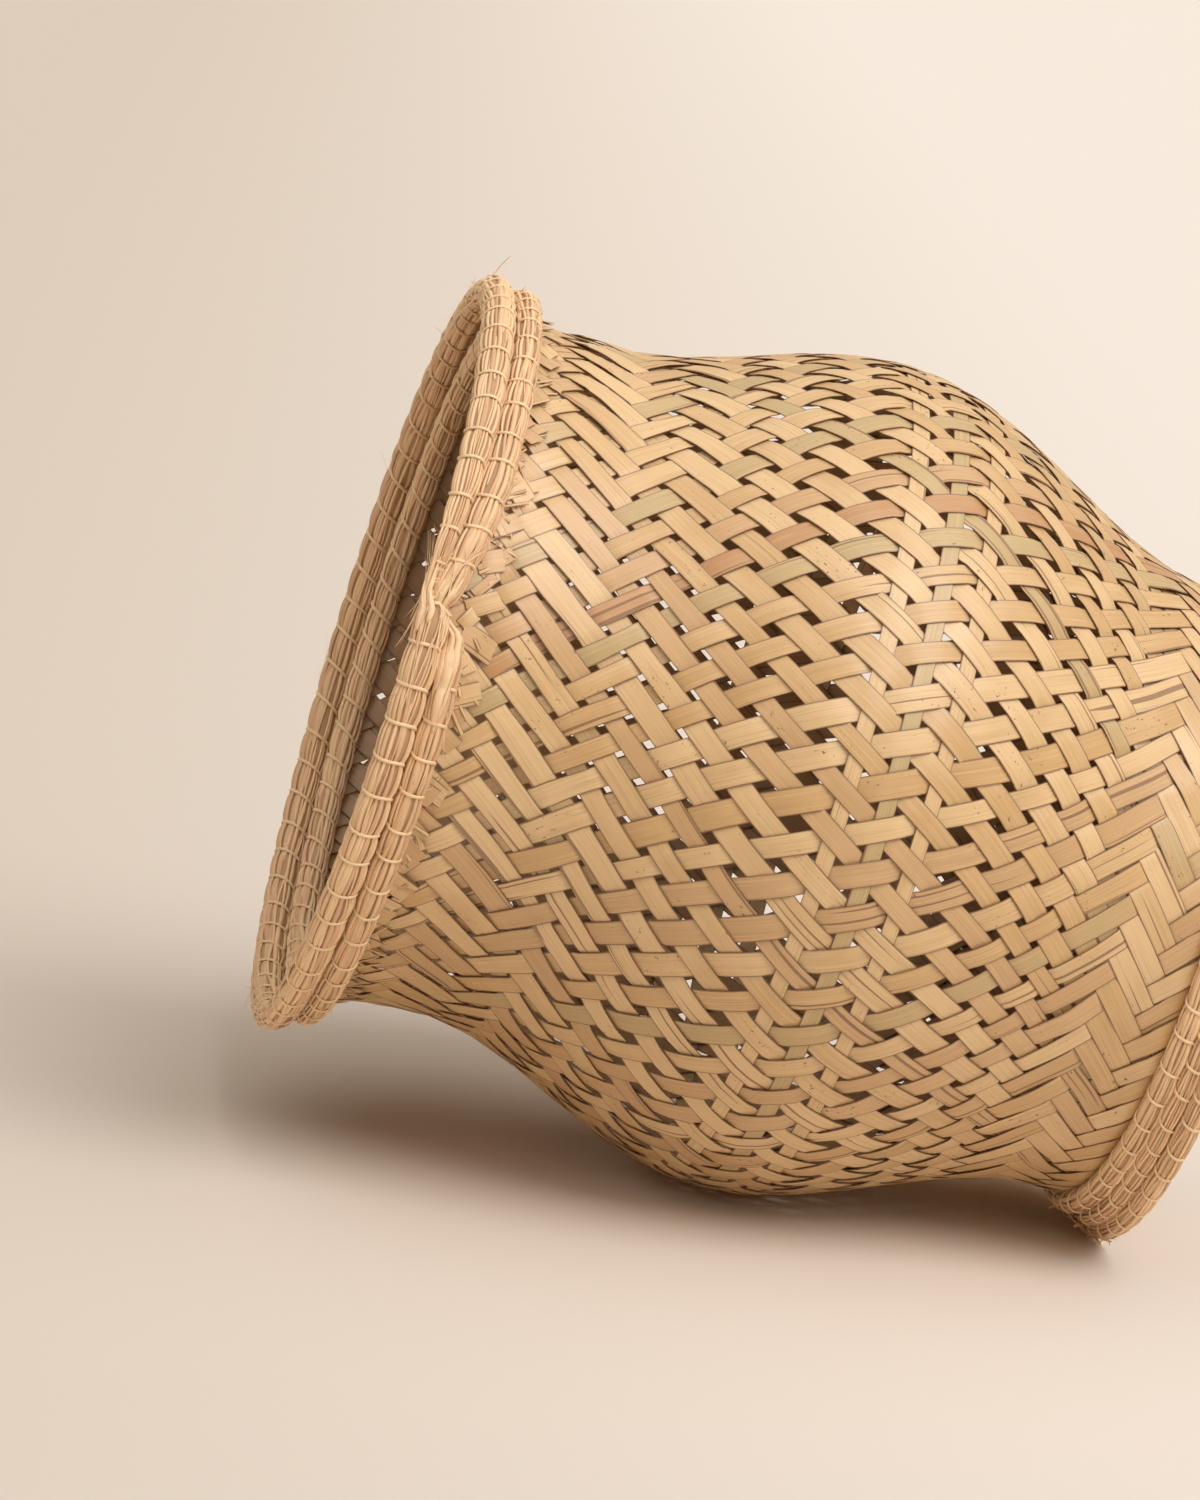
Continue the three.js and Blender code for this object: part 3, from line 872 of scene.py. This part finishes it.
    def stray(self, rng, start, turn_angle, longest, half, rise, floor=NO_FLOOR):
        """A loose fibre that leaves the bundle at a slant, given its greatest length, half width and rise."""
        length = rng.uniform(0.35, 1.0) * longest
        way = rng.choice((-1, 1))
        drift = rng.gauss(0, 0.45)
        half = half * rng.uniform(0.6, 1.4)
        rise = rise * rng.uniform(0.1, 1.0)
        bend = rng.uniform(1.4, 2.6)
        seed = pattern_seed(rng)

        def path(u, a, t):
            share = (u + 1) / 2
            azimuth = start + way * length * share / self.r
            narrow = half * (1 - share) ** 0.4
            around = turn_angle + drift * share + a * narrow / self.radius
            distance = self.radius * self.heart(azimuth)[2] + rise * share**bend + t * narrow * 0.5
            places = kept_above(self.point(azimuth, around, distance), floor)
            return places, (azimuth * self.r, a * half, seed), (0.8, 0.3, 0.0)

        return path

    def strays(self, rng, count, start, facing, *size, floor=NO_FLOOR):
        """Loose fibres. start and facing are a mean and a spread, and a start of None is anywhere on the ring."""
        fibres = []
        for _ in range(count):
            azimuth = rng.gauss(*start) if start else anywhere(rng)
            fibres.append(self.stray(rng, azimuth, rng.gauss(*facing), *size, floor))
        return fibres

    def loose_end(self, rng, start, length, turn_angle, rise):
        """A tuft strand at the end of a bundle: it lies over the finished bundle and stands off in the middle."""
        half = rng.uniform(0.0006, 0.0015)
        turn_angle += rng.gauss(0, 0.30)
        drift = rng.gauss(0, 0.35)
        length *= rng.uniform(0.6, 1.1)
        start += rng.gauss(0, 0.006) / self.r
        rise *= rng.uniform(0.2, 1.0)
        seed = pattern_seed(rng)

        def path(u, a, t):
            share = (u + 1) / 2
            azimuth = start + length * share / self.r
            narrow = half * np.sqrt(np.clip(4 * share * (1 - share), 0, 1)) + half * 0.4 * (np.abs(u) < 1)
            around = turn_angle + drift * share + a * narrow / self.radius
            base = self.swell(azimuth, around)
            distance = base + rise * np.sin(np.pi * share) ** 1.5 + t * narrow * 0.5
            return self.point(azimuth, around, distance), (azimuth * self.r, a * half, seed), (0.7, 0.3, a)

        return path


def make_coil(coil, sizes, seed, lanes, floor=NO_FLOOR, lacing_nodes=()):
    """Adds a bundle's strands with their core, and the cord that laces them."""
    strands = coil.strands(sizes, random.Random(seed), lanes, floor)
    per_strand = max(24, int(coil.turns * 8 * sizes.strand_length / (TURN * coil.r)))
    add_piece(f"{coil.name}_strands", strands, per_strand, STRAND_SECTION, FIBRE, [coil.node])
    core, lacing = [coil.core(sizes, floor)], [coil.cord(sizes, floor)]
    add_piece(f"{coil.name}_core", core, coil.turns * 4, round_section(16), FIBRE, [coil.node])
    add_piece(f"{coil.name}_cord", lacing, coil.turns * 16, round_section(6), CORD, lacing_nodes)


class BASKET_OT_bind_rim(Operator):
    """Binds the rim from its outer, inner and edge bundles, with the frayed lap of the edge bundle"""

    bl_idname = "basket.bind_rim"
    bl_label = "Bind the rim"

    def execute(self, context):
        sizes = context.scene.basket_bundles
        rng = random.Random(7)
        low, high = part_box("rim_edge_coil")
        step = sizes.lap_pitch / (high.x - (high.z - low.z) / 2)
        close = sizes.lap_turns * step
        rest = TURN - close - step
        close_turns = spaced_turns(rng, 0.0, close, sizes.lap_turns, 0.45)
        long_turns = spaced_turns(rng, close, rest, sizes.rim_stitches, 0.13)
        lap = sizes.lap_angle
        edge = Coil("rim_edge", [*close_turns[:-1], *long_turns], lap, sizes, face=0.2, lap=lap)
        # Each stitch of the outer bundle goes on from one of the edge bundle
        outer_turns = [*(long_turns - close), TURN]
        outer = Coil("rim_outer", outer_turns, lap + close + 0.014, sizes, face=-0.2, lap=lap)
        # At the lap the edge bundle thins out, the outer one takes its place, and a new outer one begins. These are
        # angles from the lap, shares of the way to the other bundle, and sizes
        angles = (-0.50, -0.12, -0.02, 0.03, 0.14, 0.31, 0.55, 0.90)
        edge.step_over(outer, angles, (0, 0, 0, -0.30, -0.24, -0.10, 0, 0), (1, 1.04, 1.04, 0.42, 0.52, 0.80, 0.96, 1))
        angles = (-0.50, -0.30, -0.14, -0.07, -0.04, -0.01, 0.02, 0.10, 0.20, 0.35, 0.60, 1.00)
        moved = (0, 0, 0.07, 0.17, 0.55, 0.93, 0.90, 0.66, 0.42, 0.20, 0.06, 0)
        outer.step_over(edge, angles, moved, (1, 0.98, 0.86, 0.64, 0.40, 0.60, 1.12, 1.20, 1.24, 1.20, 1.07, 1))
        inner_turns = spaced_turns(rng, 0.0, TURN, sizes.rim_stitches, 0.13)
        inner = Coil("rim_inner", inner_turns, 0.05, sizes)
        make_coil(edge, sizes, 101, sizes.lanes, lacing_nodes=["rim_lacing"])
        make_coil(outer, sizes, 102, sizes.lanes - 4)
        make_coil(inner, sizes, 103, sizes.lanes - 4)
        self.fray(edge, outer, rng, lap)
        return {"FINISHED"}

    def fray(self, edge, outer, rng, lap):
        """Loose fibres at the lap, the tail of the outer bundle below it, and a few hairs all round and on top."""
        tufts = edge.strays(rng, 46, (lap + 0.02, 0.035), (0.3, 0.9), 0.034, 0.00035, 0.0055)
        tufts += outer.strays(rng, 16, (lap, 0.08), (-0.5, 0.5), 0.030, 0.0003, 0.0040)
        tufts += [outer.loose_end(rng, lap - 0.25, 0.052, 0.15, 0.0022) for _ in range(26)]
        tufts += [edge.loose_end(rng, lap - 0.06, 0.045, 0.5, 0.0018) for _ in range(9)]
        add_piece("rim_tufts", tufts, 16, STRAND_SECTION, FIBRE)
        hairs = edge.strays(rng, 44, None, (0.8, 0.9), 0.020, 0.00013, 0.0075)
        hairs += outer.strays(rng, 90, None, (-0.6, 0.4), 0.022, 0.0002, 0.0035)
        hairs += [edge.stray(rng, rng.gauss(RIM_TOP, 0.02), 0.3, 0.015, 0.00018, 0.012) for _ in range(3)]
        add_piece("rim_hairs", hairs, 9, STRAND_SECTION, FIBRE)


class BASKET_OT_bind_foot(Operator):
    """Binds the foot from its upper, middle and edge bundles"""

    bl_idname = "basket.bind_foot"
    bl_label = "Bind the foot"

    def execute(self, context):
        sizes = context.scene.basket_bundles
        rng = random.Random(9)
        count = sizes.foot_stitches
        step = TURN / count
        turns = [spaced_turns(rng, 0.0, TURN, count, 0.12) for _ in range(3)]
        upper = Coil("foot_upper", turns[0], 0.0, sizes)
        middle = Coil("foot_middle", turns[1], 0.35 * step, sizes)
        edge = Coil("foot_edge", turns[2], 0.7 * step, sizes, height=0.0045)
        make_coil(upper, sizes, 201, sizes.lanes - 3)
        make_coil(middle, sizes, 202, sizes.lanes - 5)
        make_coil(edge, sizes, 203, sizes.lanes - 3, floor=0.0)
        hairs = []
        for coil, share in ((upper, 24), (middle, 12), (edge, 20)):
            for _ in range(share):
                facing = rng.gauss(0.3, 0.5)
                hairs.append(coil.stray(rng, anywhere(rng), facing, 0.020, 0.00016, 0.0045, ABOVE_FLOOR))
        # Cut ends that splay from the bundles' lap
        for coil, share in ((upper, 10), (middle, 16), (edge, 26)):
            hairs += coil.strays(rng, share, (FOOT_LAP, 0.07), (0.0, 0.55), 0.020, 0.00075, 0.0042, floor=ABOVE_FLOOR)
        add_piece("foot_hairs", hairs, 9, STRAND_SECTION, FIBRE)
        return {"FINISHED"}


# The stage


def camera_axes():
    """The photograph's right, up and back directions in the basket's frame, from how far the basket is rolled
    and tipped towards the camera."""
    roll, tip, turn = CAMERA_ROLL, CAMERA_TIP, CAMERA_TURN
    up = Vector((-math.cos(tip) * math.cos(roll), math.cos(tip) * math.sin(roll), math.sin(tip)))
    first = Vector((math.sin(roll), math.cos(roll), 0.0))
    second = first.cross(up)
    across = Vector((math.cos(turn), math.sin(turn), 0.0))
    near = Vector((math.sin(turn), -math.cos(turn), 0.0))
    return [across * first[i] + near * second[i] + Vector((0, 0, 1)) * up[i] for i in range(3)]


class BASKET_OT_set_stage(Operator):
    """Sets the floor, the lamps and the camera"""

    bl_idname = "basket.set_stage"
    bl_label = "Set the stage"

    def execute(self, context):
        sizes = context.scene.basket_stage
        right, up, back = camera_axes()
        self.camera(context, sizes, right, up, back)
        self.floor(sizes)
        self.light(context, sizes, right, up, back)
        context.scene.view_settings.view_transform = "Standard"
        return {"FINISHED"}

    def camera(self, context, sizes, right, up, back):
        lens = bpy.data.cameras.new("Camera")
        lens.sensor_width = SENSOR
        lens.lens = SENSOR * sizes.distance / (PIXEL * IMAGE_HEIGHT)
        lens.clip_end = 60.0
        beside = (BELLY_PIXEL[0] - IMAGE_WIDTH / 2) * PIXEL
        above = (IMAGE_HEIGHT / 2 - BELLY_PIXEL[1]) * PIXEL
        place = Vector((0, 0, BELLY_HEIGHT)) - right * beside - up * above + back * sizes.distance
        turn = Matrix((right, up, back)).transposed().to_4x4()
        camera = put("Camera", lens)
        camera.matrix_world = Matrix.Translation(place) @ turn
        context.scene.camera = camera

    def floor(self, sizes):
        away = Vector((math.cos(FLOOR_AZIMUTH), math.sin(FLOOR_AZIMUTH), 0))
        normal = -math.cos(FLOOR_LEAN) * away + math.sin(FLOOR_LEAN) * Vector((0, 0, 1))
        along = normal.cross(Vector((0, 0, 1)).cross(normal)).normalized()
        turn = Matrix((along.cross(normal), along, normal)).transposed().to_4x4()
        touch = away * FLOOR_DISTANCE + Vector((0, 0, FLOOR_HEIGHT))
        bm = bmesh.new()
        bmesh.ops.create_grid(bm, x_segments=8, y_segments=8, size=FLOOR_HALF_WIDTH)
        bmesh.ops.transform(bm, matrix=Matrix.Translation(touch) @ turn, verts=bm.verts[:])
        mesh = bpy.data.meshes.new("floor")
        bm.to_mesh(mesh)
        bm.free()
        material = bpy.data.materials.new("Pale floor")
        tree = Finish(material)
        # Painted light: the floor's colour goes from darker on the left to lighter on the right, as the lamps' light
        # falls off
        place = tree.node("TexCoord")["Object"]
        sideways = tree.node("VectorMath", [place, FLOOR_PAINTED_LIGHT_TOWARD], operation="DOT_PRODUCT")["Value"]
        tint = tree.mix(sideways.between(-0.9, 0.5), tuple(sizes.floor), tuple(sizes.floor_right))
        # Painted light: the floor glows a little for diffuse rays only, lightening the basket where it rests on it,
        # and the camera sees none of the glow
        diffuse = tree.node("LightPath")["Is Diffuse Ray"]
        painted_glow = tree.mix(diffuse, (0.0, 0.0, 0.0), tuple(sizes.floor_glow))
        sockets = {"Base Color": tint, "Roughness": 0.9, "Specular IOR Level": 0.1}
        sockets |= {"Emission Color": painted_glow, "Emission Strength": 1.0}
        plain = tree.node("BsdfPrincipled", sockets)
        # Its underside is clear, so that the views from below the floor see the basket
        behind = tree.node("NewGeometry")["Backfacing"]
        tree.surface(tree.node("MixShader", [behind, plain, tree.node("BsdfTransparent")]))
        mesh.materials.append(material)
        floor = put("floor", mesh)

    def lamp(self, name, toward, power, softness, tint):
        data = bpy.data.lights.new(name, "SUN")
        data.energy = power
        data.angle = softness
        data.color = tint
        put(name, data).matrix_world = toward.normalized().to_track_quat("Z", "Y").to_matrix().to_4x4()

    def light(self, context, sizes, right, up, back):
        key = right * 0.52 + up * 0.63 + back * 0.58
        glow = right * 0.20 + up * 0.66 + back * 0.30
        self.lamp("Key", key, sizes.key, sizes.key_size, (1.0, 1.0, 1.0))
        self.lamp("Ceiling glow", glow, sizes.glow, sizes.glow_size, sizes.room)
        world = bpy.data.worlds.new("Even light")
        context.scene.world = world
        tree = Finish(world)
        rays = tree.node("LightPath")
        seen = rays["Is Camera Ray"] + rays["Is Glossy Ray"] + rays["Is Transmission Ray"]
        even = tree.node("Background", {"Color": (*sizes.fill_tint, 1.0), "Strength": sizes.fill})
        pale = tree.node("Background", {"Color": (*sizes.backdrop, 1.0), "Strength": 1.0})
        mixed = tree.node("MixShader", [seen.math("MINIMUM", 1.0), even, pale])
        tree.node("OutputWorld", {"Surface": mixed})


# The panel


class BASKET_PT_pieces(Panel):
    """Lists the basket's settings and the buttons of the steps that build it"""

    bl_label = "Palm Fiber Basket"
    bl_space_type = "VIEW_3D"
    bl_region_type = "UI"
    bl_category = "Basket"

    def draw(self, context):
        for group in SETTINGS:
            box = self.layout.box()
            settings = getattr(context.scene, group)
            for key in settings.__annotations__:
                box.prop(settings, key)
        for step in STEPS:
            self.layout.operator(step.bl_idname)


SETTINGS = {
    "basket_wall": BasketWallSettings,
    "basket_hoops": BasketHoopSettings,
    "basket_bundles": BasketBundleSettings,
    "basket_stage": BasketStageSettings,
}
STEPS = (
    BASKET_OT_set_stage,
    BASKET_OT_plait_wall,
    BASKET_OT_thread_hoops,
    BASKET_OT_tuck_ends,
    BASKET_OT_weave_base,
    BASKET_OT_bind_rim,
    BASKET_OT_bind_foot,
)


def register():
    for cls in (*SETTINGS.values(), *STEPS, BASKET_PT_pieces):
        bpy.utils.register_class(cls)
    for name, group in SETTINGS.items():
        setattr(bpy.types.Scene, name, PointerProperty(type=group))


def unregister():
    for name in SETTINGS:
        delattr(bpy.types.Scene, name)
    for cls in reversed((*SETTINGS.values(), *STEPS, BASKET_PT_pieces)):
        bpy.utils.unregister_class(cls)


def main():
    register()
    bpy.ops.basket.set_stage()
    bpy.ops.basket.plait_wall()
    bpy.ops.basket.thread_hoops()
    bpy.ops.basket.tuck_ends()
    bpy.ops.basket.weave_base()
    bpy.ops.basket.bind_rim()
    bpy.ops.basket.bind_foot()


if __name__ == "__main__":
    main()
